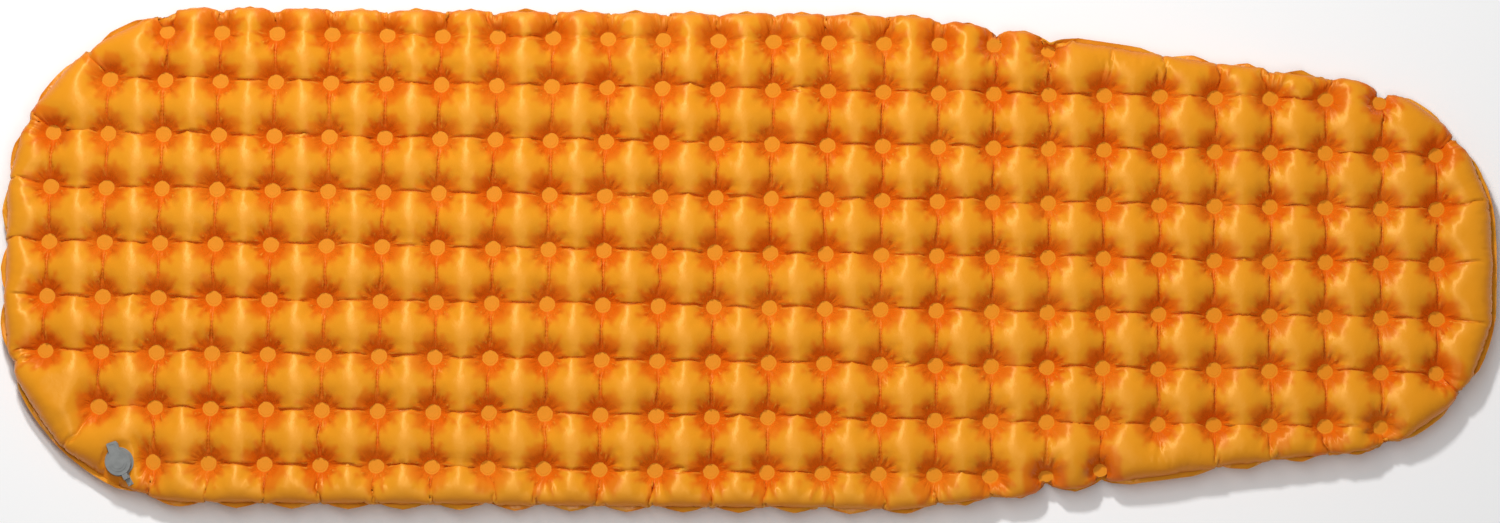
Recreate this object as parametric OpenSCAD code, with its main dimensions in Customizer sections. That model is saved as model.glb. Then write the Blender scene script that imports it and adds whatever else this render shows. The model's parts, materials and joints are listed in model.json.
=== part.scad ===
// Mummy-cut inflatable sleeping pad: two coated sheets, joined at the rim and at a
// lattice of round spot welds, with a flat two-stage valve on a corner of the head end.
// Millimetres. Origin under the middle of the pad on the ground, +Z up, head at -X, foot at +X.

/* [Pad] */
// Length of the inflated pad
pad_l = 1830; // [1700:10:2000]
// Thickness of the inflated pad
pad_t = 50; // [46:1:60]
// Radius of the two corners at the head
head_r = 252; // [235:1:265]
// Distance of the head corners from the centre line
head_off = 55; // [40:1:60]
// Radius at the hips, where the sides start to taper
hip_r = 307; // [300:1:310]
// Distance of the hips behind the middle of the pad
hip_x = 164; // [100:1:220]
// Radius of the two corners at the foot
foot_r = 197; // [180:1:210]
// Distance of the foot corners from the centre line
foot_off = 34; // [24:1:44]

/* [Sheets and welds] */
// Thickness of each sheet
sheet_t = 1; // [0.8:0.1:1.4]
// Thickness of the fused layer between the two sheets
weld_t = 0.4; // [0.2:0.1:0.6]
// Width of the welded rim
flange_w = 6; // [5:0.5:8]
// Width of the rounded side, between the rim and the flat top
side_w = 38; // [34:1:42]
// Spacing of the spot welds along the pad
column_pitch = 68.2; // [66:0.1:70]
// Spacing of the spot welds across the pad
row_pitch = 67.7; // [66:0.1:70]
// Radius of a spot weld
spot_r = 9.5; // [8:0.5:11]
// Radius of the dimple over a spot weld, at the top of the pad
dimple_r = 25; // [20:1:27]
// Least distance from a spot weld's centre to the edge of the rim
spot_margin = 17; // [17:0.5:24]
// How far a spot weld near the rim may be drawn in to keep that distance
spot_draw = 10; // [0:1:10]
// Turn of the lattice against the outline, in degrees
lattice_turn = -0.42; // [-0.6:0.02:0.6]

/* [Valve] */
// Height of the valve's seat above the ground
seat_z = 36.5; // [36:0.5:39]
// Lean of the valve towards the rim, in degrees
valve_lean = 15; // [10:1:18]
// Distance from the valve's axis to the edge of the rim
valve_inset = 26; // [26:1:30]
// Bore of the valve body, which the deflation plug closes
body_bore_r = 12; // [12:0.1:12.2]
// Bore of the inflation port, which a pump's nozzle enters
port_r = 8; // [7.8:0.1:8]
// Radius of the cap's disc
cap_r = 15.7; // [15:0.1:16]
// Distance from the valve's axis to the fold between the body's tether and the plug's
plug_fold_x = 31; // [30:0.5:33]
// Distance from the valve's axis to the fold between the plug's tether and the cap's
cap_fold_x = 22; // [21:0.5:23]
// Direction of the tethers, in degrees from +X
tether_dir = -62; // [-75:1:-50]
// Direction of the pull tabs, in degrees from +X
tab_dir = 108; // [95:1:125]

/* [Hidden] */

orange = [0.93, 0.55, 0.12];
weld_orange = [0.97, 0.68, 0.25];
grey = [0.6, 0.6, 0.59];
dark_grey = [0.4, 0.4, 0.4];
translucent_white = [0.9, 0.9, 0.87];

$fn = 48;
over = 0.1;            // cuts run this far past a face
mid_z = pad_t / 2;     // height of the weld plane
half_t = pad_t / 2;    // rise of each sheet from the weld plane
arc_step = 7.5;        // degrees of outline arc for each facet
side_steps = 5;        // facets up the rounded side
columns = 26;
rows = 9;
first_column = 54.7 - pad_l / 2;   // the lattice starts this far from the head
middle_row = 9.4;      // and sits a little to one side of the centre line
first_row_draw = 7;    // the row on that side is pulled in by the fullness of the sheet
valve_room = 39;       // no spot is closer to the valve than this
dimple_wall = 1.2;     // sheet thickness measured across the slope of a dimple
spot_fn = 32;
seat_cut_r = 37;       // the top sheet lies flat this far round the valve

// Place of the valve, near the corner of the head end.
head_x = head_r - pad_l / 2;
outward = -117;        // direction from the head corner's centre to the valve
valve_x = head_x + (head_r - valve_inset) * cos(outward);
valve_y = -head_off + (head_r - valve_inset) * sin(outward);

// Heights and radii on the valve, measured from its seat on the top sheet.
flange_r = 18;
flange_t = 0.9;
neck_r = 14;           // outside of the tube that goes through the sheet
neck_bottom = -9;
strap_t = 0.8;
strap_w = 7;
ring_r = 16;           // outside of the rings that hold the tethers
body_rim_r = 15.2;     // the body's rim keeps its tether down
body_rim_z = flange_t + strap_t;
body_top = 2.2;
plug_gap = 0.1;        // between the body's rim and the plug's shoulder
shank_r = 11.6;
shank_bottom = -3;
shoulder_r = 13.2;
plug_strap_z = 2.4;
lip_r = 14.2;
lip_z = plug_strap_z + strap_t;
lip_top = 4;
collar_r = 10.5;
collar_top = 6;
port_floor = 1.2;      // the port narrows here, above the release button
chamber_r = 6.8;
seal_r = 0.8;          // radius of the seal's section
seal_z = 0.2;
seal_reach = 11.85;    // outside of the plug's seal
grid_t = 0.8;          // thickness of the flap's seat
grid_ring = 1.2;       // width of its ring
spoke_w = 1.2;
hub_r = 2.4;
stem_r = 1.2;
stem_clearance = 0.05;
flap_gap = 0.1;
flap_t = 0.5;
flap_r = 6.2;
button_r = 3;
button_z = -0.1;       // underside of the button's head
button_t = 0.8;
barb_r = 1.8;
gasket_t = 0.4;
gasket_in = 8.3;
gasket_out = 10.3;
cap_z = collar_top + gasket_t + 0.1;
cap_t = 1.2;
skirt_in = 10.8;
skirt_out = 12;
skirt_bottom = 4.4;
step_r = [11, 7.8];    // radius of each step on the cap
step_h = [0.5, 0.9];   // and its height over the disc
tab_w = 13.5;
plug_tab_end = 24;
cap_tab_end = 26;
tab_corner = 2;
tab_step = 0.1;        // each tab is this much thinner than its disc, above and below
recess = [6, 6.5, 0.5];  // the fingertip recess in the cap's tab
recess_gap = 1.5;      // between the recess and the cap's disc
bead_r = (lip_z - flange_t) / 2;   // the outer fold is as thick as both straps
plug_fold_z = flange_t + bead_r;
cap_bead_r = 1;
cap_fold_z = cap_z + cap_bead_r / 2;
bead_gap = 0.2;
knuckle_w = 2.2;       // the middle bead of each fold

// ---------- Outline: tangent arcs round the foot, the hips and the head ----------

// Direction of the normal to the common tangent on the left of two circles [x, y, r].
function tangent(a, b) =
    let (dx = b[0] - a[0], dy = b[1] - a[1])
    atan2(dy, dx) + acos((a[2] - b[2]) / norm([dx, dy]));

// Points on a circle, shrunk by inset, from one direction to another.
function arc(c, from, to, inset) =
    let (n = max(1, ceil(abs(to - from) / arc_step)))
    [for (i = [0 : n]) let (a = from + (to - from) * i / n)
        [c[0] + (c[2] - inset) * cos(a), c[1] + (c[2] - inset) * sin(a)]];

function upper_half(inset) =
    let (foot = [pad_l / 2 - foot_r, foot_off, foot_r],
         hip = [hip_x, 0, hip_r],
         head = [head_x, head_off, head_r],
         foot_end = tangent(hip, foot),
         head_end = tangent(head, hip))
    concat(arc(foot, 0, foot_end, inset),
           arc(hip, foot_end, head_end, inset),
           arc(head, head_end, 180, inset));

function outline(inset) =
    let (up = upper_half(inset), n = len(up))
    concat(up, [for (i = [n - 1 : -1 : 0]) [up[i][0], -up[i][1]]]);

// ---------- Spot welds: a lattice, kept where it is inside the outline ----------

rim = outline(0);

// How far a point is inside each edge of the rim.
function depths(p) = [for (i = [0 : len(rim) - 1])
    let (a = rim[i], b = rim[(i + 1) % len(rim)])
    cross(b - a, p - a) / norm(b - a)];

// The point, drawn in from the nearest edge of the rim if it is too close to it.
function drawn_in(p) =
    let (all = depths(p), depth = min(all), i = search(depth, all)[0],
         along = rim[(i + 1) % len(rim)] - rim[i],
         move = max(0, spot_margin - depth))
    p + move * [-along[1], along[0]] / norm(along);

function lattice_point(i, j) =
    let (x = first_column + i * column_pitch,
         y = middle_row + ((rows - 1) / 2 - j) * row_pitch - (j == 0 ? first_row_draw : 0))
    [x * cos(lattice_turn) - y * sin(lattice_turn),
     x * sin(lattice_turn) + y * cos(lattice_turn)];

// A spot too near the rim is drawn in, but not in the first column, which leaves it out.
spots = [for (i = [0 : columns - 1], j = [0 : rows - 1])
    let (p = lattice_point(i, j), needed = spot_margin - (i == 0 ? 0 : spot_draw))
    if (min(depths(p)) > needed && norm(p - [valve_x, valve_y]) > valve_room)
        drawn_in(p)];

// ---------- Sheets, each drawn as it rises from the weld plane at z = 0 ----------

// A solid through rings of equal length, each [outline points, height], lowest first.
module loft(rings) {
    n = len(rings[0][0]);
    points = [for (ring = rings, p = ring[0]) [p[0], p[1], ring[1]]];
    sides = [for (k = [0 : len(rings) - 2], i = [0 : n - 1])
        [k * n + i, (k + 1) * n + i, (k + 1) * n + (i + 1) % n, k * n + (i + 1) % n]];
    bottom = [[for (i = [0 : n - 1]) i]];
    top = [[for (i = [n - 1 : -1 : 0]) (len(rings) - 1) * n + i]];
    polyhedron(points, concat(bottom, sides, top));
}

// Half of the pad's volume with its dimples, drawn in by shrink on every side but the lowest.
module cushion(shrink) {
    rise = half_t - weld_t / 2 - shrink;
    slope = (dimple_r - spot_r) / half_t;
    difference() {
        loft([for (k = [0 : side_steps]) let (a = 90 * k / side_steps)
            [outline(flange_w + shrink + side_w * (1 - cos(a))), weld_t / 2 + rise * sin(a)]]);
        for (p = spots)
            translate([p[0], p[1], weld_t / 2 + sheet_t - shrink])
                cylinder(h = half_t, r1 = spot_r + dimple_wall * shrink / sheet_t,
                    r2 = spot_r + dimple_wall * shrink / sheet_t + slope * half_t, $fn = spot_fn);
    }
}

// The flat weld flange of one sheet, which also closes the floor of every dimple.
module flange_plate() {
    translate([0, 0, weld_t / 2]) linear_extrude(sheet_t) polygon(outline(0));
}

module top_sheet() {
    color(orange) difference() {
        translate([0, 0, mid_z]) union() {
            flange_plate();
            difference() {
                cushion(0);
                translate([0, 0, -mid_z]) flat_seat(0);
            }
        }
        difference() {
            translate([0, 0, mid_z]) cushion(sheet_t);
            flat_seat(sheet_t);
        }
        on_valve() cylinder(h = 4 * sheet_t, r = neck_r, center = true);
    }
}

module bottom_sheet() {
    color(orange) translate([0, 0, mid_z]) mirror([0, 0, 1]) difference() {
        union() {
            flange_plate();
            cushion(0);
        }
        cushion(sheet_t);
    }
}

module spot_welds() {
    color(weld_orange)
    for (p = spots)
        translate([p[0], p[1], mid_z - weld_t / 2]) cylinder(h = weld_t, r = spot_r);
}

module rim_weld() {
    color(weld_orange)
    translate([0, 0, mid_z - weld_t / 2]) linear_extrude(weld_t) difference() {
        polygon(outline(0));
        polygon(outline(flange_w));
    }
}

// ---------- Valve, drawn upright on its seat with its tethers along +X ----------

module on_valve() {
    translate([valve_x, valve_y, seat_z])
        rotate(valve_lean, [-sin(outward), cos(outward), 0])
            rotate([0, 0, tether_dir]) children();
}

// What is cut away above the seat, lowered by drop inside the sheet.
module flat_seat(drop) {
    on_valve() translate([0, 0, -drop]) cylinder(h = pad_t, r = seat_cut_r + drop);
}

module ring(outer, inner, low, high) {
    translate([0, 0, low]) difference() {
        cylinder(h = high - low, r = outer);
        translate([0, 0, -over]) cylinder(h = high - low + 2 * over, r = inner);
    }
}

// A flat plate along +X from one distance to another, with two rounded corners.
module plate(from, to, w, low, high, corner) {
    translate([0, 0, low]) linear_extrude(high - low) union() {
        translate([from, -w / 2]) square([to - from - corner, w]);
        translate([to - corner - over, -w / 2 + corner]) square([corner + over, w - 2 * corner]);
        for (y = [-1, 1]) translate([to - corner, y * (w / 2 - corner)]) circle(corner);
    }
}

// A block across the strap, from y = low to y = high.
module block(x0, x1, y0, y1, z0, z1) {
    translate([x0, y0, z0]) cube([x1 - x0, y1 - y0, z1 - z0]);
}

module bead(x, z, r, y0, y1) {
    translate([x, y0, z]) rotate([-90, 0, 0]) cylinder(h = y1 - y0, r = r);
}

module valve_flange() {
    color(grey) on_valve() ring(flange_r, neck_r, 0, flange_t);
}

module valve_body() {
    color(grey) on_valve() difference() {
        union() {
            translate([0, 0, neck_bottom]) cylinder(h = body_top - neck_bottom, r = neck_r);
            translate([0, 0, body_rim_z]) cylinder(h = body_top - body_rim_z, r = body_rim_r);
        }
        translate([0, 0, neck_bottom - over])
            cylinder(h = body_top - neck_bottom + 2 * over, r = body_bore_r);
    }
}

// The tether's three lengths meet at two folds, each a middle bead between two side beads.
module body_tether() {
    side = knuckle_w / 2 + bead_gap;
    color(grey) on_valve() {
        difference() {
            union() {
                ring(ring_r, neck_r, flange_t, body_rim_z);
                block(neck_r, plug_fold_x - bead_r - bead_gap, -strap_w / 2, strap_w / 2,
                    flange_t, body_rim_z);
                for (y = [-strap_w / 2, side]) {
                    block(plug_fold_x - 2 * bead_r, plug_fold_x, y, y + strap_w / 2 - side,
                        flange_t, body_rim_z);
                    bead(plug_fold_x, plug_fold_z, bead_r, y, y + strap_w / 2 - side);
                }
            }
            translate([0, 0, flange_t - over]) cylinder(h = strap_t + 2 * over, r = neck_r);
        }
    }
}

module plug_tether() {
    side = knuckle_w / 2 + bead_gap;
    color(grey) on_valve() difference() {
        union() {
            ring(ring_r, shoulder_r, plug_strap_z, lip_z);
            block(shoulder_r, plug_fold_x - bead_r - bead_gap, -strap_w / 2, strap_w / 2,
                plug_strap_z, lip_z);
            block(plug_fold_x - 2 * bead_r, plug_fold_x, -knuckle_w / 2, knuckle_w / 2,
                plug_strap_z, lip_z);
            bead(plug_fold_x, plug_fold_z, bead_r, -knuckle_w / 2, knuckle_w / 2);
            for (y = [-strap_w / 2, side]) {
                block(cap_fold_x - cap_bead_r, cap_fold_x + cap_bead_r, y, y + strap_w / 2 - side,
                    lip_z - over, cap_fold_z);
                bead(cap_fold_x, cap_fold_z, cap_bead_r, y, y + strap_w / 2 - side);
            }
        }
        translate([0, 0, plug_strap_z - over]) cylinder(h = strap_t + 2 * over, r = shoulder_r);
    }
}

module cap_tether() {
    color(grey) on_valve() {
        difference() {
            block(cap_r - strap_w / 2, cap_fold_x - cap_bead_r - bead_gap,
                -strap_w / 2, strap_w / 2, cap_z, cap_z + strap_t);
            translate([0, 0, cap_z - over]) cylinder(h = strap_t + 2 * over, r = cap_r);
        }
        block(cap_fold_x - 2 * cap_bead_r, cap_fold_x, -knuckle_w / 2, knuckle_w / 2,
            cap_z, cap_z + strap_t);
        bead(cap_fold_x, cap_fold_z, cap_bead_r, -knuckle_w / 2, knuckle_w / 2);
    }
}

// The plug's wall from the axis outwards is drawn as one turned profile.
module deflation_plug() {
    shoulder_z = body_top + plug_gap;
    groove_low = seal_z - seal_r;
    groove_high = seal_z + seal_r;
    groove_r = seal_reach - 2 * seal_r;
    color(grey) on_valve() union() {
        rotate_extrude() polygon([
            [chamber_r, shank_bottom], [shank_r, shank_bottom],
            [shank_r, groove_low], [groove_r, groove_low],
            [groove_r, groove_high], [shank_r, groove_high],
            [shank_r, shoulder_z], [shoulder_r, shoulder_z],
            [shoulder_r, lip_z], [lip_r, lip_z], [lip_r, lip_top],
            [collar_r, lip_top], [collar_r, collar_top],
            [port_r, collar_top], [port_r, port_floor], [chamber_r, port_floor]]);
        rotate([0, 0, tab_dir - tether_dir])
            plate(shoulder_r, plug_tab_end, tab_w, lip_z + tab_step, lip_top - tab_step,
                tab_corner);
    }
}

module plug_seal() {
    color(dark_grey) on_valve() translate([0, 0, seal_z]) rotate_extrude()
        translate([seal_reach - seal_r, 0]) circle(seal_r, $fn = 24);
}

module flap_seat() {
    color(translucent_white) on_valve() translate([0, 0, shank_bottom]) difference() {
        cylinder(h = grid_t, r = chamber_r);
        difference() {
            ring(chamber_r - grid_ring, hub_r, -over, grid_t + over);
            for (a = [30, 150, 270]) rotate([0, 0, a])
                block(0, chamber_r, -spoke_w / 2, spoke_w / 2, -2 * over, grid_t + 2 * over);
        }
        translate([0, 0, -over]) cylinder(h = grid_t + 2 * over, r = stem_r + stem_clearance);
    }
}

module flap() {
    top = shank_bottom - flap_gap;
    color(translucent_white) on_valve() ring(flap_r, stem_r, top - flap_t, top);
}

module release_button() {
    flap_bottom = shank_bottom - flap_gap - flap_t;
    color(translucent_white) on_valve() {
        translate([0, 0, button_z]) cylinder(h = button_t, r = button_r);
        translate([0, 0, flap_bottom]) cylinder(h = button_z - flap_bottom, r = stem_r);
        translate([0, 0, flap_bottom - barb_r / 2])
            cylinder(h = barb_r / 2, r1 = stem_r, r2 = barb_r);
    }
}

// A turned disc with two raised steps and a skirt, and a tab with a recess for a fingertip.
module inflation_cap() {
    top = cap_z + cap_t;
    color(grey) on_valve() difference() {
        union() {
            rotate_extrude() polygon([
                [0, cap_z], [skirt_in, cap_z], [skirt_in, skirt_bottom],
                [skirt_out, skirt_bottom], [skirt_out, cap_z], [cap_r, cap_z], [cap_r, top],
                [step_r[0], top], [step_r[0], top + step_h[0]],
                [step_r[1], top + step_h[0]], [step_r[1], top + step_h[1]],
                [0, top + step_h[1]]]);
            rotate([0, 0, tab_dir - tether_dir])
                plate(skirt_out + 1, cap_tab_end, tab_w, cap_z + tab_step, top - tab_step,
                    tab_corner);
        }
        rotate([0, 0, tab_dir - tether_dir])
            translate([cap_r + recess_gap, -recess[1] / 2, top - tab_step - recess[2]])
                cube([recess[0], recess[1], recess[2] + tab_step]);
    }
}

module cap_gasket() {
    color(dark_grey) on_valve() ring(gasket_out, gasket_in, cap_z - gasket_t, cap_z);
}

top_sheet();
bottom_sheet();
spot_welds();
rim_weld();
valve_flange();
valve_body();
body_tether();
deflation_plug();
plug_seal();
plug_tether();
flap_seat();
flap();
release_button();
inflation_cap();
cap_gasket();
cap_tether();
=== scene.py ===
"""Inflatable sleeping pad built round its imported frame. Metres, +X to the foot, +Z up."""

import json
import math

import bpy
import numpy as np
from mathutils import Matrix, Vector
from mathutils.geometry import delaunay_2d_cdt


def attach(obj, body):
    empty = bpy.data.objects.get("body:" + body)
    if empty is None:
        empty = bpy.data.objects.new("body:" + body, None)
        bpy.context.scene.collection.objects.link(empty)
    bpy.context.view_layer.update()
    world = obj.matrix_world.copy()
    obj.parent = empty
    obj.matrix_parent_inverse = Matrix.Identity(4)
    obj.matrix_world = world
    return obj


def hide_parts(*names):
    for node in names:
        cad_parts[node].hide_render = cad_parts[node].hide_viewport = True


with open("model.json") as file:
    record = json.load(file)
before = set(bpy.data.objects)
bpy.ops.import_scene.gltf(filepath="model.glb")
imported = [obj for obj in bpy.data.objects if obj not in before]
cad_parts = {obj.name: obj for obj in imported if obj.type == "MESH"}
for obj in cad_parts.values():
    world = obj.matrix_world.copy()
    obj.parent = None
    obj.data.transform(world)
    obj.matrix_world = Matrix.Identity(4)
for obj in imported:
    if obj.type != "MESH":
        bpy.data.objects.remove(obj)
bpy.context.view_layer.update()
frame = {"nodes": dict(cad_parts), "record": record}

# ---------- Sizes of the pad, in metres ----------

PAD_L, PAD_W = 1.83, 0.614
MID = 0.025                       # height of the weld plane
HEAD = (-0.663, 0.055, 0.252)     # corner circles of the outline: x, y, radius
HIP = (0.164, 0.0, 0.307)
FOOT = (0.718, 0.034, 0.197)
FLANGE = 0.006                    # width of the welded rim
SPOT_R = 0.0095
SPOT_GAP = 0.034                  # half the spacing of the spot welds
SPOT_SPREAD = 0.025               # CAD points closer than this belong to one spot weld
FILM = 0.00015                    # half the thickness of the weld film
SHEET_APART = 1.3                 # each sheet lies this many FILMs from a weld's middle
HOLE_R = 0.0132                   # hole in the top sheet for the valve's neck
SEAT_R = 0.0188                   # the sheet is bonded to the valve's flange this far out
SEAT_BLEND = 0.034                # and is free of it here
SEAT_GLUE = 0.0002                # the sheet lies this far under the flange
PORT_MIDDLE = 0.0036              # height of the port's middle over the valve's seat
HAIR = 1e-5                       # slack when a length is compared with a weld's edge

# ---------- How each sheet is cut ----------

STRETCH = 0.12                    # the flat cut is this much longer than the inflated pad
SIDE_SPARE = 0.019                # and the rim is cut this much further out, for full sides
SIDE_REACH = 0.032                # the spare cloth is spread over this depth from the rim
RIM_BOW, RIM_NOTCH = 0.004, 0.013    # how far the rim bows out, and is drawn in at a weld
RIM_SPOTS = 0.062                 # spot welds closer to the outline than this notch the rim
NOTCH_FADE = 0.06                 # notches get shallower as their weld nears this depth
RIM_SLACK = 1.01                  # length of the rim's weld over that of its line

# ---------- Mesh ----------

FINE, COARSE, ROUNDS = 0.0029, 0.0055, 210
FOLD_BAND, FOLD_ROUND = 0.008, 0.023    # the mesh is fine this close to a fold, or to a weld
JITTER = 0.12                     # share of a step by which grid points are moved about
CLEAR_WELD, CLEAR_SEAT = 0.62, 0.5    # steps kept free of grid points beside each edge

# ---------- Solver ----------

SHRINK, STIFF, PRESSURE = 0.7, 0.05, 0.00005    # push against shortening and bending; inflation
PUSH_AREA = 0.0037 ** 2           # of the cloth round one point, that PRESSURE is meant for
KEEP_SPEED, TOP_SPEED = 0.9, 0.0008    # share of the last move kept, and the longest move
BLOW_ROUNDS, BOND_ROUNDS = 30, 40    # the pressure and the valve's bond come in over these
SPOT_HOLD, PLANE_HOLD = 0.3, 0.02    # pull of each spot weld to its place and to the weld plane
RIM_HOLD = 0.15                   # pull of the rim to its line
START_SLOPE, START_REACH = 0.35, 0.02    # the sheets start apart, as shallow tents
START_ROUGH, WELD_ROUGH = 0.0006, 0.0003    # and slightly uneven, so that they can buckle

# ---------- What is done to the solved sheets ----------

TOP_RISE = 0.0252                 # 99.9th percentile of the top's heights, scaled to this
BOTTOM_RISE = 0.0262              # the same for the bottom, which the ground then presses flat
HEIGHT_SCALE = 0.82               # about what the top is scaled by, to place the valve's seat
PEAK, PEAK_ROUND = 0.0487, 0.0015    # bulges over this height are held down, within this much
FAN_RISE, FAN_REACH = 0.0030, 0.0335    # height and length of the folds round each weld
FAN_WAVES = np.arange(4, 9)       # of the folds, round one weld
FAN_TWIST = 25                    # turn of the folds as they run out, per metre
DISC_SIZE, DISC_BLEND = 0.88, 0.008    # brings back the discs, which the solver stretches

# The valve's axis and seat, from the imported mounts.
port = next(m for m in frame["record"]["mounts"] if m["name"] == "inflation_port")
valve_axis = np.array(port["axis"], float)
valve_axis /= np.linalg.norm(valve_axis)
valve_seat = np.array(port["pos_m"], float) - PORT_MIDDLE * valve_axis


def smooth(t):
    return t * t * (3 - 2 * t)


def ease(x, low, high):
    """Smooth step from 0 at low to 1 at high."""
    return smooth(np.clip((x - low) / (high - low), 0, 1))


def edges_of(faces):
    return np.vstack([faces[:, [0, 1]], faces[:, [1, 2]], faces[:, [2, 0]]])


def seat_height(points):
    """Height of the valve's seat plane at some points in plan."""
    away = points - valve_seat[:2]
    return valve_seat[2] - (away @ valve_axis[:2]) / valve_axis[2]


# ---------- Outline, as tangent arcs ----------

def tangent(a, b):
    """Angle at which the line that touches circles a and b leaves them."""
    dx, dy = b[0] - a[0], b[1] - a[1]
    return math.atan2(dy, dx) + math.acos((a[2] - b[2]) / math.hypot(dx, dy))


def arc(circle, start, end, inset, step):
    r = circle[2] - inset
    n = max(2, int(round(abs(end - start) * r / step)))
    return [(circle[0] + r * math.cos(t), circle[1] + r * math.sin(t))
            for t in np.linspace(start, end, n + 1)]


def between(p, q, step):
    n = max(1, int(round(math.dist(p, q) / step)))
    return [(p[0] + (q[0] - p[0]) * i / n, p[1] + (q[1] - p[1]) * i / n) for i in range(1, n)]


def outline(inset, step):
    foot_end, head_end = tangent(HIP, FOOT), tangent(HEAD, HIP)
    a = arc(FOOT, 0, foot_end, inset, step)
    b = arc(HIP, foot_end, head_end, inset, step)
    c = arc(HEAD, head_end, math.pi, inset, step)
    up = a + between(a[-1], b[0], step) + b + between(b[-1], c[0], step) + c
    low = [(x, -y) for x, y in reversed(up)]
    return up + between(up[-1], low[0], step) + low + between(low[-1], up[0], step)


def depth_inside(points):
    """How far each point is inside the outline, which is convex, and the way out of it."""
    ring = np.array(outline(0, 0.01))
    along = np.roll(ring, -1, 0) - ring
    along /= np.hypot(along[:, 0], along[:, 1])[:, None]
    depth, out = np.full(len(points), 1e9), np.zeros((len(points), 2))
    for p, (dx, dy) in zip(ring, along):
        here = (points - p) @ (-dy, dx)
        nearer = here < depth
        depth[nearer], out[nearer] = here[nearer], (dy, -dx)
    return depth, out


def spot_centres():
    """The middle of each spot weld, from the CAD discs."""
    mesh = frame["nodes"]["spot_welds"].data
    co = np.zeros(len(mesh.vertices) * 3)
    mesh.vertices.foreach_get("co", co)
    left = co.reshape(-1, 3)[:, :2]
    found = []
    while len(left):
        mine = np.hypot(*(left - left[0]).T) < SPOT_SPREAD
        found.append((left[mine].min(0) + left[mine].max(0)) / 2)
        left = left[~mine]
    return np.array(found)


spots = spot_centres()
spots = spots[np.lexsort((spots[:, 1], np.round(spots[:, 0] / SPOT_GAP)))]


def nearest_spot(points):
    """The distance from each point to its nearest spot weld, and that weld's number."""
    away, which = np.full(len(points), 9.0), np.zeros(len(points), int)
    for k, s in enumerate(spots):
        d = np.hypot(points[:, 0] - s[0], points[:, 1] - s[1])
        closer = d < away
        away[closer], which[closer] = d[closer], k
    return away, which


def ring_points(centre, r, n, turn=0.0):
    a = 2 * math.pi * (np.arange(n) + turn) / n
    return [(centre[0] + r * math.cos(t), centre[1] + r * math.sin(t)) for t in a]


def hex_grid(step, rng):
    """Points over the whole pad on a slightly uneven triangular grid."""
    row = step * math.sqrt(3) / 2
    grid = np.array([(-PAD_L / 2 + (i + (j % 2) / 2) * step, -PAD_W / 2 + j * row)
                     for j in range(int(PAD_W / row) + 2) for i in range(int(PAD_L / step) + 2)])
    return grid + rng.uniform(-JITTER, JITTER, grid.shape) * step


def creased(points):
    """Where the cloth folds: between neighbouring welds, round each weld and along the rim."""
    away, which = nearest_spot(points)
    side = np.abs(points - spots[which]).min(1)
    return (side < FOLD_BAND) | (away < FOLD_ROUND) | (depth_inside(points)[0] < FOLD_ROUND)


def flat_mesh():
    """The plan of one sheet as triangles, with edges along every weld and the valve."""
    rng = np.random.default_rng(7)
    points, edges = [], []

    def add(loop):
        first, n = len(points), len(loop)
        points.extend(loop)
        edges.extend((first + i, first + (i + 1) % n) for i in range(n))

    add(outline(0, FINE))
    add(outline(FLANGE, FINE))
    for s in spots:
        add(ring_points(s, SPOT_R, 20))
        points.extend(ring_points(s, SPOT_R * 0.62, 12, 0.5))
        points.extend(ring_points(s, SPOT_R * 0.3, 6))
        points.append(tuple(s))
    add(ring_points(valve_seat, HOLE_R, 28))
    add(ring_points(valve_seat, SEAT_R, 40))
    fine, coarse = hex_grid(FINE, rng), hex_grid(COARSE, rng)
    grid = np.vstack([fine[creased(fine)], coarse[~creased(coarse)]])
    depth = depth_inside(grid)[0]
    keep = (depth > CLEAR_WELD * FINE) & (np.abs(depth - FLANGE) > CLEAR_WELD * FINE)
    keep &= nearest_spot(grid)[0] > SPOT_R + CLEAR_WELD * FINE
    from_valve = np.hypot(*(grid - valve_seat[:2]).T)
    for r in (HOLE_R, SEAT_R):
        keep &= np.abs(from_valve - r) > CLEAR_SEAT * FINE
    every = [Vector(p) for p in points + [tuple(p) for p in grid[keep]]]
    made = delaunay_2d_cdt(every, edges, [], 1, 1e-9)
    return np.array([(v.x, v.y) for v in made[0]]), np.array(made[2])


# ---------- Inflation: two sheets that share their welds, blown up by pressure ----------

def colours(pairs, n):
    """Pairs sorted into groups in which no point is used twice."""
    rng = np.random.default_rng(3)
    left, groups = np.arange(len(pairs)), []

    def winners(some):
        rank = rng.permutation(len(some))
        best = np.full(n, len(some) + 1)
        np.minimum.at(best, pairs[some, 0], rank)
        np.minimum.at(best, pairs[some, 1], rank)
        return (best[pairs[some, 0]] == rank) & (best[pairs[some, 1]] == rank)

    while len(left):
        won = winners(left)
        chosen, left = left[won], left[~won]
        used = np.zeros(n, bool)
        used[pairs[chosen].ravel()] = True
        for _ in range(6):
            free = np.flatnonzero(~(used[pairs[left, 0]] | used[pairs[left, 1]]))
            if not len(free):
                break
            free = free[winners(left[free])]
            more = left[free]
            chosen = np.concatenate([chosen, more])
            used[pairs[more].ravel()] = True
            left = np.delete(left, free)
        groups.append(np.sort(chosen))
    return groups


def scalloped(points):
    """How far out of the outline the rim goes: a notch at each outer weld, a bow between."""
    rng = np.random.default_rng(11)
    inside, way_out = depth_inside(spots)
    outer = np.flatnonzero(inside < RIM_SPOTS)
    notch = spots[outer] + inside[outer, None] * way_out[outer]
    shallower = np.clip(1.5 - inside[outer] / NOTCH_FADE, 0.4, 1)
    deep = RIM_NOTCH * rng.uniform(0.7, 1.25, len(outer)) * shallower
    away = np.hypot(*(points[:, None] - notch[None]).transpose(2, 0, 1))
    nearest = away.argmin(1)
    bow = np.sqrt(np.clip(away.min(1) / SPOT_GAP, 0, 1))
    return -deep[nearest] + (deep[nearest] + RIM_BOW) * bow


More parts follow.
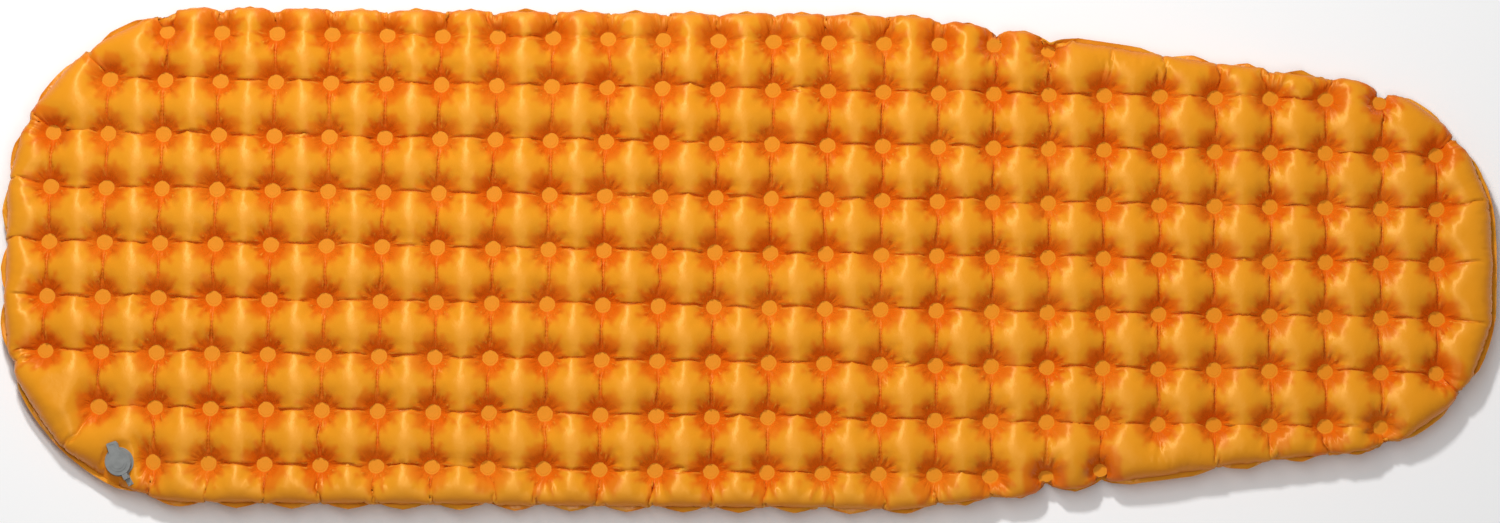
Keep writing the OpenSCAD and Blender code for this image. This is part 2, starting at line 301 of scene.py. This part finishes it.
def inflate(plan, tris, depth, from_spot, which, rounds):
    """Where each point of the top and the bottom sheet goes, about the weld plane."""
    n = len(plan)
    in_rim, in_spot = depth < FLANGE + HAIR, from_spot < SPOT_R + HAIR
    welded = in_rim | in_spot
    from_valve = np.hypot(*(plan - valve_seat[:2]).T)
    bonded = from_valve < SEAT_R + HAIR
    spare = np.clip(1 - depth / SIDE_REACH, 0, 1)
    flat = plan * (1 + STRETCH) + SIDE_SPARE * smooth(spare)[:, None] * outward
    cut = flat.copy()
    shift = np.zeros((len(spots), 2))
    for k in range(2):
        shift[:, k] = (np.bincount(which[in_spot], (flat - plan)[in_spot, k], len(spots))
                       / np.bincount(which[in_spot], minlength=len(spots)))
    cut[in_spot] = plan[in_spot] + shift[which[in_spot]]
    cut[bonded] = plan[bonded] + (flat - plan)[bonded].mean(0)
    free = ~welded
    low = np.arange(n)
    low[free] = n + np.arange(free.sum())
    total = n + free.sum()
    cut = np.vstack([cut, flat[free]])

    edge = np.sort(edges_of(tris), axis=1)
    key, number, uses = np.unique(edge[:, 0].astype(np.int64) * n + edge[:, 1],
                                  return_inverse=True, return_counts=True)
    stretch = np.stack([key // n, key % n], 1)
    across = np.concatenate([tris[:, 2], tris[:, 0], tris[:, 1]])
    order = np.argsort(number.ravel(), kind="stable")
    first = np.searchsorted(number.ravel()[order], np.arange(len(key)))[uses == 2]
    bend = np.stack([across[order[first]], across[order[first + 1]]], 1)

    def both(pairs):
        apart = ~(welded[pairs[:, 0]] & welded[pairs[:, 1]])
        return np.vstack([pairs, low[pairs[apart]]])

    def grouped(pairs):
        rest = np.hypot(*(cut[pairs[:, 0]] - cut[pairs[:, 1]]).T)
        seam = (pairs < n).all(1)
        seam[seam] = in_rim[pairs[seam]].all(1)
        rest[seam] = RIM_SLACK * np.hypot(*(rim_at[pairs[seam, 0]] - rim_at[pairs[seam, 1]]).T)
        rest = rest.astype(np.float32)
        return [(pairs[g, 0].copy(), pairs[g, 1].copy(), rest[g]) for g in colours(pairs, total)]

    rim = np.flatnonzero(in_rim)
    rim_at = plan.copy()
    rim_at[rim] += scalloped(plan[rim])[:, None] * outward[rim]
    stretch, bend = grouped(both(stretch)), grouped(both(bend))
    faces = np.vstack([tris, low[tris][:, ::-1]])
    corner = faces.ravel()
    rng = np.random.default_rng(5)
    x = np.zeros((total, 3), np.float32)
    x[:n, :2], x[n:, :2] = plan, plan[free]
    room = np.minimum(np.maximum(from_spot - SPOT_R, 0), np.maximum(depth - FLANGE, 0))
    rise = START_SLOPE * np.minimum(room, START_REACH)
    x[:n, 2] = np.where(free, rise + rng.uniform(0, START_ROUGH, n),
                        rng.uniform(-WELD_ROUGH, WELD_ROUGH, n))
    x[n:, 2] = -(rise + rng.uniform(0, START_ROUGH, n))[free]

    def sweep(pairs, pull, push):
        for i, j, rest in pairs:
            p, q = x[i], x[j]
            away = q - p
            length = np.sqrt(np.einsum("ij,ij->i", away, away))
            error = length - rest
            error *= np.where(error > 0, np.float32(pull / 2), np.float32(push / 2))
            away *= (error / length)[:, None]
            x[i] = p + away
            x[j] = q - away

    def pressure():
        a, b, c = x[faces[:, 0]], x[faces[:, 1]], x[faces[:, 2]]
        spread = np.repeat(np.cross(b - a, c - a) / 2, 3, 0)
        return np.stack([np.bincount(corner, spread[:, k], total) for k in range(3)],
                        1).astype(np.float32)

    held = np.flatnonzero(in_spot)
    held_by = which[held]
    count = np.bincount(held_by, minlength=len(spots))
    bond = np.flatnonzero(bonded)
    bond_at = np.column_stack([plan[bond], (seat_height(plan[bond]) - MID) / HEIGHT_SCALE])
    before = x.copy()
    for step in range(rounds):
        if step % 2 == 0:
            share = min(1, (step + 1) / BLOW_ROUNDS)
            push = pressure() * np.float32(PRESSURE * share / PUSH_AREA)
        speed = np.clip((x - before) * np.float32(KEEP_SPEED), -TOP_SPEED, TOP_SPEED)
        before = x.copy()
        x += speed + push
        sweep(stretch, 1.0, SHRINK)
        sweep(bend, STIFF, STIFF)
        sweep(stretch, 1.0, SHRINK)
        middle = np.stack([np.bincount(held_by, x[held, k], len(spots)) / count
                           for k in range(3)], 1)
        drift = np.column_stack([(spots - middle[:, :2]) * SPOT_HOLD, -middle[:, 2] * PLANE_HOLD])
        x[held] += drift[held_by].astype(np.float32)
        share = min(1, (step + 1) / BOND_ROUNDS)
        x[bond] += ((bond_at - x[bond]) * share).astype(np.float32)
        x[rim, :2] += ((rim_at[rim] - x[rim, :2]) * RIM_HOLD).astype(np.float32)
    return x[:n].astype(float), x[low].astype(float), welded


plan, tris = flat_mesh()
depth, outward = depth_inside(plan)
from_spot, which = nearest_spot(plan)
top, bottom, welded = inflate(plan, tris, depth, from_spot, which, ROUNDS)

# Heights to the pad's thickness, which the solver overshoots; the ground presses the
# lowest bulges flat, and the highest peaks are held down.
top[:, 2] *= TOP_RISE / np.percentile(top[:, 2], 99.9)
bottom[:, 2] *= BOTTOM_RISE / -np.percentile(bottom[:, 2], 0.1)
top[:, 2] += MID
bottom[:, 2] = np.maximum(bottom[:, 2] + MID, 0.0)
peak = np.maximum(top[:, 2] - PEAK, 0)
top[:, 2] -= peak - PEAK_ROUND * np.tanh(peak / PEAK_ROUND)

# The top sheet meets the valve's seat, and eases back to its own height round it.
from_valve = np.hypot(*(plan - valve_seat[:2]).T)
near = np.clip((from_valve - SEAT_R) / (SEAT_BLEND - SEAT_R), 0, 1)
near = 1 - smooth(near)
bonded = from_valve < SEAT_R + HAIR
short = seat_height(top[:, :2]) - SEAT_GLUE - top[:, 2]
around_seat = np.column_stack([np.ones(len(plan)), plan - valve_seat[:2]])
slope = np.linalg.lstsq(around_seat[bonded], short[bonded], rcond=None)[0]
top[:, 2] += np.where(bonded, short, near * (around_seat @ slope))


def point_normals(points, faces):
    a, b, c = (points[faces[:, k]] for k in range(3))
    spread = np.repeat(np.cross(b - a, c - a), 3, 0)
    normal = np.stack([np.bincount(faces.ravel(), spread[:, k], len(points))
                       for k in range(3)], 1)
    return normal / np.maximum(np.linalg.norm(normal, axis=1), 1e-12)[:, None]


def fan_folds(seed):
    """Folds that run out from each weld: their height, -0.5 to 0.5, and the painted shade of a
    dark star round each weld.
    """
    rng = np.random.default_rng(seed)
    phase = rng.uniform(0, 2 * math.pi, (len(spots), len(FAN_WAVES)))
    size = rng.uniform(0.3, 1.0, (len(spots), len(FAN_WAVES)))
    away = plan - spots[which]
    turn = np.arctan2(away[:, 1], away[:, 0])[:, None] * FAN_WAVES + phase[which]
    turn = turn + from_spot[:, None] * FAN_TWIST
    wave = (size[which] * np.cos(turn)).sum(1) / size.sum(1)[which]
    sideways = np.abs(away).max(1)
    reach = ease(from_spot, SPOT_R, 0.019) * (1 - ease(sideways, 0.020, FAN_REACH))
    clear = ease(from_valve, SEAT_R, SEAT_BLEND) * ease(depth, FLANGE, 0.014)
    fold = 1 - np.clip(np.abs(1.7 * wave), 0, 1)
    # painted shade: a dark star round each weld, ragged where the folds run out
    shade = clear * (1 - ease(from_spot - 0.016 * fold, 0.015, 0.022))
    return (fold - 0.5) * reach * clear, shade * (1 - ease(sideways, 0.028, FAN_REACH))


top_fold, top_painted_shade = fan_folds(21)
bottom_fold, bottom_painted_shade = fan_folds(22)
top += FAN_RISE * top_fold[:, None] * point_normals(top, tris)
bottom += FAN_RISE * bottom_fold[:, None] * point_normals(bottom, tris[:, ::-1])
bottom[:, 2] = np.maximum(bottom[:, 2], 0)
for k in range(len(spots)):       # every spot weld is a flat disc
    disc = np.flatnonzero((which == k) & (from_spot < SPOT_R + HAIR))
    middle = top[disc].mean(0)
    normal = np.linalg.svd(top[disc] - middle)[2][2]
    flat = top[disc] - ((top[disc] - middle) @ normal)[:, None] * normal
    top[disc] = bottom[disc] = flat
    close = np.flatnonzero((which == k) & (from_spot < SPOT_R + DISC_BLEND))
    size = DISC_SIZE + (1 - DISC_SIZE) * ease(from_spot[close], SPOT_R, SPOT_R + DISC_BLEND)
    for sheet in (top, bottom):
        sheet[close, :2] = middle[:2] + (sheet[close, :2] - middle[:2]) * size[:, None]
for sheet, side in ((top, 1), (bottom, -1)):
    sheet[welded, 2] += side * FILM * SHEET_APART


# ---------- Objects ----------

def link(name, mesh):
    ob = bpy.data.objects.new(name, mesh)
    bpy.context.scene.collection.objects.link(ob)
    return ob


def attribute(mesh, name, values):
    mesh.attributes.new(name, "FLOAT", "POINT").data.foreach_set(
        "value", np.asarray(values, np.float32))


def shape_of(points, faces):
    """How level each point is, and how sharply the cloth folds inward there, per metre."""
    n, normal = len(points), point_normals(points, faces)
    start, end = faces.ravel(), np.roll(faces, -1, 1).ravel()
    away = points[end] - points[start]
    bend = np.bincount(start, (away * normal[start]).sum(1), n)
    length = np.bincount(start, (away ** 2).sum(1), n)
    return np.abs(normal[:, 2]), 2 * bend / np.maximum(length, 1e-12)


def compact(faces, n):
    """The points that some faces use, of n, and the faces numbered by them."""
    used = np.unique(faces)
    index = np.full(n, -1)
    index[used] = np.arange(len(used))
    return used, index[faces]


def cloth_object(name, points, faces, painted_star_shade):
    """A sheet with its flat cut as UVs, and what its material needs on each point."""
    used, faces = compact(faces, len(points))
    mesh = bpy.data.meshes.new(name)
    mesh.from_pydata(points[used].tolist(), [], faces.tolist())
    uv = mesh.uv_layers.new(name="cut")
    corner = np.zeros(len(mesh.loops), int)
    mesh.loops.foreach_get("vertex_index", corner)
    uv.data.foreach_set("uv", plan[used][corner].astype(np.float32).ravel())
    attribute(mesh, "from_spot", from_spot[used])
    attribute(mesh, "depth", depth[used])
    away = plan[used] - spots[which[used]]
    away /= np.maximum(np.hypot(away[:, 0], away[:, 1]), 1e-6)[:, None]
    attribute(mesh, "ray_x", away[:, 0])
    attribute(mesh, "ray_y", away[:, 1])
    attribute(mesh, "spot_id", which[used])
    # painted shade of the star round each weld; rise, steep and fold below also drive painted
    # shade and a painted highlight in the material
    attribute(mesh, "painted_star_shade", painted_star_shade[used])
    attribute(mesh, "rise", np.abs(points[used, 2] - MID) / TOP_RISE)
    level, fold = shape_of(points[used], faces)
    attribute(mesh, "steep", 1 - level)
    attribute(mesh, "fold", fold)
    mesh.shade_smooth()
    ends = np.zeros(len(mesh.edges) * 2, int)
    mesh.edges.foreach_get("vertices", ends)
    on_edge = np.abs(from_spot[used] - SPOT_R) < HAIR
    on_rim = np.abs(depth[used] - FLANGE) < HAIR
    sharp = mesh.attributes.new("sharp_edge", "BOOLEAN", "EDGE")
    sharp.data.foreach_set("value", on_edge[ends.reshape(-1, 2)].all(1)
                           | on_rim[ends.reshape(-1, 2)].all(1))
    return link(name, mesh)


def film_object(name, faces):
    """A thin closed film through some of the welded triangles."""
    used, flat = compact(faces, len(plan))
    mid = (top[used] + bottom[used]) / 2
    m = len(used)
    edge = edges_of(flat)
    key = np.sort(edge, axis=1)
    code = key[:, 0].astype(np.int64) * m + key[:, 1]
    _, first, uses = np.unique(code, return_index=True, return_counts=True)
    rim = edge[first[uses == 1]]
    walls = np.column_stack([rim[:, 0], rim[:, 0] + m, rim[:, 1] + m, rim[:, 1]])
    points = np.vstack([mid + [0, 0, FILM], mid - [0, 0, FILM]])
    mesh = bpy.data.meshes.new(name)
    mesh.from_pydata(points.tolist(), [],
                     flat.tolist() + (flat[:, ::-1] + m).tolist() + walls.tolist())
    return link(name, mesh)


tri_spot = (from_spot[tris] < SPOT_R + HAIR).all(1)
tri_flange = (depth[tris] < FLANGE + HAIR).all(1)
hole = (from_valve[tris] < HOLE_R + HAIR).all(1)
top_fabric = cloth_object("top_fabric", top, tris[~hole], top_painted_shade)
bottom_fabric = cloth_object("bottom_fabric", bottom, tris[:, ::-1], bottom_painted_shade)
spot_films = film_object("spot_films", tris[tri_spot])
rim_film = film_object("rim_film", tris[tri_flange])


# ---------- Materials ----------

def nodes_of(name):
    material = bpy.data.materials.new(name)
    material.use_nodes = True
    tree = material.node_tree
    return material, tree, tree.nodes["Principled BSDF"]


class Graph:
    """Short calls for making and joining a material's nodes."""

    def __init__(self, tree):
        self.tree = tree

    def put(self, socket, value):
        if isinstance(value, bpy.types.NodeSocket):
            self.tree.links.new(value, socket)
        elif value is not None:
            socket.default_value = value

    def node(self, kind, out=0, settings=(), **inputs):
        made = self.tree.nodes.new(kind)
        for key, value in dict(settings).items():
            setattr(made, key, value)
        for key, value in inputs.items():
            self.put(made.inputs[key.replace("_", " ")], value)
        return made.outputs[out]

    def value(self, name):
        return self.node("ShaderNodeAttribute", "Fac", {"attribute_name": name})

    def math(self, operation, a, b=None, c=None, clamp=False):
        made = self.tree.nodes.new("ShaderNodeMath")
        made.operation, made.use_clamp = operation, clamp
        for socket, value in zip(made.inputs, (a, b, c)):
            self.put(socket, value)
        return made.outputs[0]

    def ramp(self, x, low, high, out_low=0.0, out_high=1.0):
        made = self.tree.nodes.new("ShaderNodeMapRange")
        made.interpolation_type = "SMOOTHSTEP"
        for socket, value in zip(made.inputs, (x, low, high, out_low, out_high)):
            self.put(socket, value)
        return made.outputs[0]

    def mix(self, share, a, b):
        made = self.tree.nodes.new("ShaderNodeMix")
        made.data_type = "RGBA"
        self.put(made.inputs[0], share)
        self.put(made.inputs[6], a)
        self.put(made.inputs[7], b)
        return made.outputs[2]

    def noise(self, vector, scale, detail=2.0, roughness=0.5):
        return self.node("ShaderNodeTexNoise", 0, Vector=vector, Scale=scale, Detail=detail,
                         Roughness=roughness)

    def bump(self, height, strength, distance, normal=None):
        return self.node("ShaderNodeBump", 0, Height=height, Strength=strength,
                         Distance=distance, Normal=normal)

    def combine(self, x, y, z):
        return self.node("ShaderNodeCombineXYZ", 0, X=x, Y=y, Z=z)


ORANGE = (0.82, 0.300, 0.012, 1)
# painted shade: the deeper orange of valleys, steep slopes and the star round each weld
SHADE_ORANGE = (0.74, 0.130, 0.003, 1)
WELD_ORANGE = (0.70, 0.275, 0.018, 1)
# painted shade of the concave creases
CREASE_SHADE_ORANGE = (0.55, 0.095, 0.003, 1)
# painted highlight of the convex ridges
RIDGE_HIGHLIGHT_ORANGE = (0.90, 0.420, 0.040, 1)
PALE_ORANGE = (0.84, 0.350, 0.022, 1)
THREADS = 520.0                   # scale of the weave
RING_R = (0.0064, 0.0074)         # the faint ring inside each disc, inner and outer radius


def coated_fabric(name):
    """Glossy coated cloth: fine weave, painted shade in the creases, valleys, steep slopes and
    stars round each weld, a painted highlight on the ridges, puckers and duller welds.
    """
    material, tree, shader = nodes_of(name)
    g = Graph(tree)
    cut = g.node("ShaderNodeUVMap", 0, {"uv_map": "cut"})
    from_spot, edge = g.value("from_spot"), g.value("depth")
    # weave: two crossed sets of fine threads
    warp = g.node("ShaderNodeTexWave", "Fac", {"bands_direction": "X"}, Vector=cut, Scale=THREADS,
                  Distortion=0.6)
    weft = g.node("ShaderNodeTexWave", "Fac", {"bands_direction": "Y"}, Vector=cut, Scale=THREADS,
                  Distortion=0.6)
    weave = g.math("MULTIPLY", warp, weft)
    blotch = g.noise(cut, 9.0, 3.0)
    fine = g.noise(cut, 160.0, 2.0)
    spot = g.ramp(from_spot, SPOT_R - 0.0006, SPOT_R + 0.0012, 1.0, 0.0)
    rim = g.ramp(edge, FLANGE - 0.001, FLANGE + 0.001, 1.0, 0.0)
    weld = g.math("MAXIMUM", spot, rim)
    # painted shade: deeper orange low down between the bulges, on steep slopes and in the dark
    # star round each weld
    low = g.ramp(g.value("rise"), 0.0, 0.75, 0.22, 0.0)
    low = g.math("ADD", low, g.ramp(g.value("steep"), 0.03, 0.40, 0.0, 0.32))
    around = g.combine(g.math("MULTIPLY", g.value("ray_x"), 1.7),
                       g.math("MULTIPLY", g.value("ray_y"), 1.7),
                       g.math("MULTIPLY_ADD", g.value("spot_id"), 3.7,
                              g.math("MULTIPLY", from_spot, 18.0)))
    ray = g.noise(around, 1.3, 2.0, 0.5)
    low = g.math("MULTIPLY_ADD", g.value("painted_star_shade"), 0.75, low, True)
    colour = g.mix(low, ORANGE, SHADE_ORANGE)
    colour = g.mix(g.math("MULTIPLY", g.ramp(blotch, 0.35, 0.7), 0.25), colour, PALE_ORANGE)
    fold = g.value("fold")
    # painted shade in the concave creases
    colour = g.mix(g.ramp(fold, 50.0, 260.0, 0.0, 0.65), colour, CREASE_SHADE_ORANGE)
    # painted highlight on the convex ridges
    colour = g.mix(g.ramp(fold, -50.0, -240.0, 0.0, 0.55), colour, RIDGE_HIGHLIGHT_ORANGE)
    colour = g.mix(g.math("MULTIPLY", weld, 0.85), colour, WELD_ORANGE)
    tree.links.new(colour, shader.inputs["Base Color"])
    rough = g.math("ADD", g.math("MULTIPLY", fine, 0.10), g.math("MULTIPLY", blotch, 0.08))
    rough = g.math("ADD", rough, g.math("MULTIPLY_ADD", weld, 0.15, 0.31))
    tree.links.new(rough, shader.inputs["Roughness"])
    tree.links.new(g.math("MULTIPLY_ADD", weld, -0.35, 0.5), shader.inputs["Specular IOR Level"])
    shader.inputs["Specular Tint"].default_value = (1, 0.74, 0.32, 1)
    # the threads spread the gloss along the width of the pad
    shader.inputs["Anisotropic"].default_value = 0.85
    shader.inputs["Anisotropic Rotation"].default_value = 0.25
    tree.links.new(g.node("ShaderNodeTangent", 0, {"direction_type": "UV_MAP", "uv_map": "cut"}),
                   shader.inputs["Tangent"])
    shader.inputs["Sheen Weight"].default_value = 0.05
    shader.inputs["Sheen Roughness"].default_value = 0.4
    shader.inputs["Sheen Tint"].default_value = (1, 0.6, 0.25, 1)
    # small puckers that run out from each weld, and a soft crumple over the whole sheet
    pucker = g.math("ABSOLUTE", g.math("SUBTRACT", ray, 0.5))
    reach = g.math("MULTIPLY", g.ramp(from_spot, SPOT_R, SPOT_R + 0.005),
                   g.ramp(from_spot, 0.014, 0.031, 1.0, 0.0))
    pucker = g.math("MULTIPLY", pucker, reach)
    crumple = g.noise(cut, 48.0, 4.0, 0.6)
    normal = g.bump(weave, 0.10, 0.00006)
    normal = g.bump(crumple, 0.5, 0.0013, normal)
    normal = g.bump(pucker, 1.0, 0.004, normal)
    normal = g.bump(g.ramp(from_spot, *RING_R, 1.0, 0.0), 0.6, 0.0004, normal)
    tree.links.new(normal, shader.inputs["Normal"])
    return material


def weld_film(name):
    """The fused coating inside a weld: smooth, with slight mottling."""
    material, tree, shader = nodes_of(name)
    g = Graph(tree)
    place = g.node("ShaderNodeTexCoord", "Object")
    shade = g.mix(g.ramp(g.noise(place, 90.0, 3.0), 0.35, 0.65), ORANGE, PALE_ORANGE)
    tree.links.new(shade, shader.inputs["Base Color"])
    tree.links.new(g.ramp(g.noise(place, 300.0), 0.3, 0.7, 0.35, 0.5), shader.inputs["Roughness"])
    tree.links.new(g.bump(g.noise(place, 900.0, 2.0), 0.2, 0.0001), shader.inputs["Normal"])
    return material


def moulded(name, dark, light, rough, grain, specular=0.5, through=0.0):
    """Moulded plastic or rubber: slight mottling and fine grain."""
    material, tree, shader = nodes_of(name)
    g = Graph(tree)
    place = g.node("ShaderNodeTexCoord", "Object")
    mottle = g.noise(place, 120.0, 3.0)
    shade = g.mix(g.ramp(mottle, 0.3, 0.7), dark, light)
    tree.links.new(shade, shader.inputs["Base Color"])
    tree.links.new(g.ramp(mottle, 0.3, 0.7, rough - 0.05, rough + 0.06),
                   shader.inputs["Roughness"])
    tree.links.new(g.bump(g.noise(place, 1800.0, 2.0), grain, 0.00008), shader.inputs["Normal"])
    shader.inputs["Specular IOR Level"].default_value = specular
    shader.inputs["Subsurface Weight"].default_value = through
    shader.inputs["Subsurface Radius"].default_value = (0.003, 0.003, 0.003)
    shader.inputs["Subsurface Scale"].default_value = 1.0
    return material


fabric = coated_fabric("coated_fabric")
film = weld_film("weld_film")
grey = moulded("valve_tpu", (0.255, 0.262, 0.255, 1), (0.30, 0.308, 0.30, 1), 0.42, 0.25)
rubber = moulded("seal_rubber", (0.030, 0.030, 0.030, 1), (0.045, 0.045, 0.045, 1), 0.55, 0.3)
silicone = moulded("clear_silicone", (0.70, 0.70, 0.66, 1), (0.78, 0.78, 0.75, 1), 0.30, 0.1,
                   0.5, 0.4)

for piece, stands_for, material, slot in (
        (top_fabric, "top_sheet", fabric, "coated_fabric"),
        (bottom_fabric, "bottom_sheet", fabric, "coated_fabric"),
        (spot_films, "spot_welds", film, "weld_film"),
        (rim_film, "rim_weld", film, "weld_film")):
    piece.data.materials.append(material)
    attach(piece, "pad")
    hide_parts(stands_for)

# The valve's CAD parts keep their shape, with softened edges.
for name, material, radius in (
        ("valve_flange", grey, 0.0002), ("valve_body", grey, 0.0002),
        ("body_tether", grey, 0.00018), ("deflation_plug", grey, 0.0002),
        ("plug_seal", rubber, 0), ("plug_tether", grey, 0.00018),
        ("flap_seat", silicone, 0.0001), ("flap", silicone, 0.0001),
        ("release_button", silicone, 0.0002), ("inflation_cap", grey, 0.00022),
        ("cap_gasket", rubber, 0.0001), ("cap_tether", grey, 0.00018)):
    node = frame["nodes"][name]
    node.data.materials.clear()
    node.data.materials.append(material)
    weld = node.modifiers.new("weld", "WELD")
    weld.merge_threshold = 0.000005
    if radius:
        bevel = node.modifiers.new("edges", "BEVEL")
        bevel.width, bevel.segments = radius, 2
        bevel.limit_method, bevel.angle_limit = "ANGLE", math.radians(40)
        normals = node.modifiers.new("normals", "WEIGHTED_NORMAL")
        normals.keep_sharp = True

# ---------- Floor, light and camera ----------

FLOOR, FLOOR_Z = 9, -0.0006       # half its side, and just under the pad
floor_mesh = bpy.data.meshes.new("floor")
floor_mesh.from_pydata([(-FLOOR, -FLOOR, FLOOR_Z), (FLOOR, -FLOOR, FLOOR_Z),
                        (FLOOR, FLOOR, FLOOR_Z), (-FLOOR, FLOOR, FLOOR_Z)], [], [(0, 1, 2, 3)])
floor = link("floor", floor_mesh)
floor_material, _, floor_shader = nodes_of("floor")
floor_shader.inputs["Base Color"].default_value = (0.95, 0.95, 0.95, 1)
floor_shader.inputs["Roughness"].default_value = 0.9
floor_mesh.materials.append(floor_material)

world = bpy.data.worlds.new("studio")
world.use_nodes = True
world.node_tree.nodes["Background"].inputs["Color"].default_value = (1, 1, 1, 1)
world.node_tree.nodes["Background"].inputs["Strength"].default_value = 0.18
bpy.context.scene.world = world


def look(ob, target):
    ob.rotation_euler = (Vector(target) - ob.location).to_track_quat("-Z", "Y").to_euler()


def area_light(name, place, target, size, power):
    light = bpy.data.lights.new(name, "AREA")
    light.shape, light.energy = "RECTANGLE", power
    light.size, light.size_y = size
    ob = link(name, light)
    ob.location = place
    look(ob, target)


area_light("strip", (-0.3, 0.3, 3.2), (-0.1, 0, 0), (0.42, 4.4), 54)
area_light("key", (-0.8, 2.3, 2.9), (0, 0, 0), (0.35, 0.35), 84)

CAMERA_TILT, CAMERA_ROLL = math.radians(7.5), 0.0093
CAMERA_AWAY, VIEW_W = 6.0, 1.8435    # distance, and the width seen at that distance
SENSOR = 36
camera = link("camera", bpy.data.cameras.new("camera"))
aim = Vector((0.0015, -0.0014, MID))
camera.location = aim + CAMERA_AWAY * Vector((0, -math.sin(CAMERA_TILT), math.cos(CAMERA_TILT)))
look(camera, aim)
camera.rotation_euler.rotate_axis("Z", CAMERA_ROLL)
camera.data.sensor_width = SENSOR
camera.data.lens = SENSOR * CAMERA_AWAY / VIEW_W
bpy.context.scene.camera = camera

bpy.context.scene.view_settings.view_transform = "Standard"
